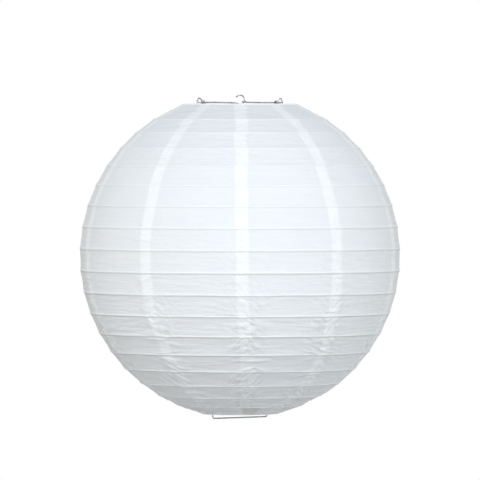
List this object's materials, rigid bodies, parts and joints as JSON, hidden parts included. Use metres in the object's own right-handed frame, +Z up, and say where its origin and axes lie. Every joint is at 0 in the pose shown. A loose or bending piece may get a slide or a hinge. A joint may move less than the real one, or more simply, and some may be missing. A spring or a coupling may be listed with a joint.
{
  "type": "paper lantern",
  "caption": "Round white paper lantern with level wire ribs, open top and bottom rings, and a bent wire expander that carries it from a small hanging loop.",
  "frame": {"origin": "inside top of the hanging loop, where the cord or hook that carries the lantern bears", "axes": "+Z up along the lantern's centre line; +X along the crossbar, towards the arm that ends in an eye; +Y completes a right-handed frame"},
  "size_m": [0.3516, 0.3516, 0.3548],
  "materials": {
    "paper": "matt white tissue paper, finely crinkled, doubled where the gores overlap",
    "label_paper": "matt beige slip, blank",
    "expander_wire": "dark drawn steel wire",
    "rim_wire": "dark drawn steel wire",
    "rib_wire": "bright thin steel wire"
  },
  "bodies": {
    "expander": {"expander_frame": "expander_wire", "hanging_loop_arm": "expander_wire", "crossbar_eye_arm": "expander_wire", "top_ring": "rim_wire", "paper_band_01": "paper"},
    "rib_01": {"rib_ring_01": "rib_wire", "paper_band_02": "paper"},
    "rib_02": {"rib_ring_02": "rib_wire", "paper_band_03": "paper"},
    "rib_03": {"rib_ring_03": "rib_wire", "paper_band_04": "paper"},
    "rib_04": {"rib_ring_04": "rib_wire", "paper_band_05": "paper"},
    "rib_05": {"rib_ring_05": "rib_wire", "paper_band_06": "paper"},
    "rib_06": {"rib_ring_06": "rib_wire", "paper_band_07": "paper"},
    "rib_07": {"rib_ring_07": "rib_wire", "paper_band_08": "paper"},
    "rib_08": {"rib_ring_08": "rib_wire", "paper_band_09": "paper"},
    "rib_09": {"rib_ring_09": "rib_wire", "paper_band_10": "paper"},
    "rib_10": {"rib_ring_10": "rib_wire", "paper_band_11": "paper"},
    "rib_11": {"rib_ring_11": "rib_wire", "paper_band_12": "paper"},
    "rib_12": {"rib_ring_12": "rib_wire", "paper_band_13": "paper"},
    "rib_13": {"rib_ring_13": "rib_wire", "paper_band_14": "paper"},
    "rib_14": {"rib_ring_14": "rib_wire", "paper_band_15": "paper"},
    "rib_15": {"rib_ring_15": "rib_wire", "paper_band_16": "paper"},
    "rib_16": {"rib_ring_16": "rib_wire", "paper_band_17": "paper"},
    "rib_17": {"rib_ring_17": "rib_wire", "paper_band_18": "paper", "blank_label": "label_paper"},
    "bottom_rim": {"bottom_ring": "rim_wire"}
  },
  "joints": [
    {"name": "rib_01_lift", "type": "slide", "parent": "expander", "child": "rib_01", "axis": [0, 0, 1], "range_m": [0, 0.01456], "deforming": ["paper_band_01"]},
    {"name": "rib_02_lift", "type": "slide", "parent": "expander", "child": "rib_02", "axis": [0, 0, 1], "range_m": [0, 0.02691], "deforming": ["paper_band_02"]},
    {"name": "rib_03_lift", "type": "slide", "parent": "expander", "child": "rib_03", "axis": [0, 0, 1], "range_m": [0, 0.04174], "deforming": ["paper_band_03"]},
    {"name": "rib_04_lift", "type": "slide", "parent": "expander", "child": "rib_04", "axis": [0, 0, 1], "range_m": [0, 0.05873], "deforming": ["paper_band_04"]},
    {"name": "rib_05_lift", "type": "slide", "parent": "expander", "child": "rib_05", "axis": [0, 0, 1], "range_m": [0, 0.07754], "deforming": ["paper_band_05"]},
    {"name": "rib_06_lift", "type": "slide", "parent": "expander", "child": "rib_06", "axis": [0, 0, 1], "range_m": [0, 0.09778], "deforming": ["paper_band_06"]},
    {"name": "rib_07_lift", "type": "slide", "parent": "expander", "child": "rib_07", "axis": [0, 0, 1], "range_m": [0, 0.11904], "deforming": ["paper_band_07"]},
    {"name": "rib_08_lift", "type": "slide", "parent": "expander", "child": "rib_08", "axis": [0, 0, 1], "range_m": [0, 0.1409], "deforming": ["paper_band_08"]},
    {"name": "rib_09_lift", "type": "slide", "parent": "expander", "child": "rib_09", "axis": [0, 0, 1], "range_m": [0, 0.16292], "deforming": ["paper_band_09"]},
    {"name": "rib_10_lift", "type": "slide", "parent": "expander", "child": "rib_10", "axis": [0, 0, 1], "range_m": [0, 0.18465], "deforming": ["paper_band_10"]},
    {"name": "rib_11_lift", "type": "slide", "parent": "expander", "child": "rib_11", "axis": [0, 0, 1], "range_m": [0, 0.20565], "deforming": ["paper_band_11"]},
    {"name": "rib_12_lift", "type": "slide", "parent": "expander", "child": "rib_12", "axis": [0, 0, 1], "range_m": [0, 0.22551], "deforming": ["paper_band_12"]},
    {"name": "rib_13_lift", "type": "slide", "parent": "expander", "child": "rib_13", "axis": [0, 0, 1], "range_m": [0, 0.24381], "deforming": ["paper_band_13"]},
    {"name": "rib_14_lift", "type": "slide", "parent": "expander", "child": "rib_14", "axis": [0, 0, 1], "range_m": [0, 0.26019], "deforming": ["paper_band_14"]},
    {"name": "rib_15_lift", "type": "slide", "parent": "expander", "child": "rib_15", "axis": [0, 0, 1], "range_m": [0, 0.27431], "deforming": ["paper_band_15"]},
    {"name": "rib_16_lift", "type": "slide", "parent": "expander", "child": "rib_16", "axis": [0, 0, 1], "range_m": [0, 0.28587], "deforming": ["paper_band_16"]},
    {"name": "rib_17_lift", "type": "slide", "parent": "expander", "child": "rib_17", "axis": [0, 0, 1], "range_m": [0, 0.29463], "deforming": ["paper_band_17"]},
    {"name": "bottom_ring_lift", "type": "slide", "parent": "expander", "child": "bottom_rim", "axis": [0, 0, 1], "range_m": [0, 0.3014], "deforming": ["paper_band_18", "blank_label"]}
  ],
  "couplings": [
    {"joint": "rib_01_lift", "follows": "bottom_ring_lift", "ratio": 0.048263},
    {"joint": "rib_02_lift", "follows": "bottom_ring_lift", "ratio": 0.089244},
    {"joint": "rib_03_lift", "follows": "bottom_ring_lift", "ratio": 0.13844},
    {"joint": "rib_04_lift", "follows": "bottom_ring_lift", "ratio": 0.19482},
    {"joint": "rib_05_lift", "follows": "bottom_ring_lift", "ratio": 0.25722},
    {"joint": "rib_06_lift", "follows": "bottom_ring_lift", "ratio": 0.32438},
    {"joint": "rib_07_lift", "follows": "bottom_ring_lift", "ratio": 0.39493},
    {"joint": "rib_08_lift", "follows": "bottom_ring_lift", "ratio": 0.46746},
    {"joint": "rib_09_lift", "follows": "bottom_ring_lift", "ratio": 0.5405},
    {"joint": "rib_10_lift", "follows": "bottom_ring_lift", "ratio": 0.61259},
    {"joint": "rib_11_lift", "follows": "bottom_ring_lift", "ratio": 0.68228},
    {"joint": "rib_12_lift", "follows": "bottom_ring_lift", "ratio": 0.74816},
    {"joint": "rib_13_lift", "follows": "bottom_ring_lift", "ratio": 0.8089},
    {"joint": "rib_14_lift", "follows": "bottom_ring_lift", "ratio": 0.86325},
    {"joint": "rib_15_lift", "follows": "bottom_ring_lift", "ratio": 0.9101},
    {"joint": "rib_16_lift", "follows": "bottom_ring_lift", "ratio": 0.94845},
    {"joint": "rib_17_lift", "follows": "bottom_ring_lift", "ratio": 0.97749}
  ]
}
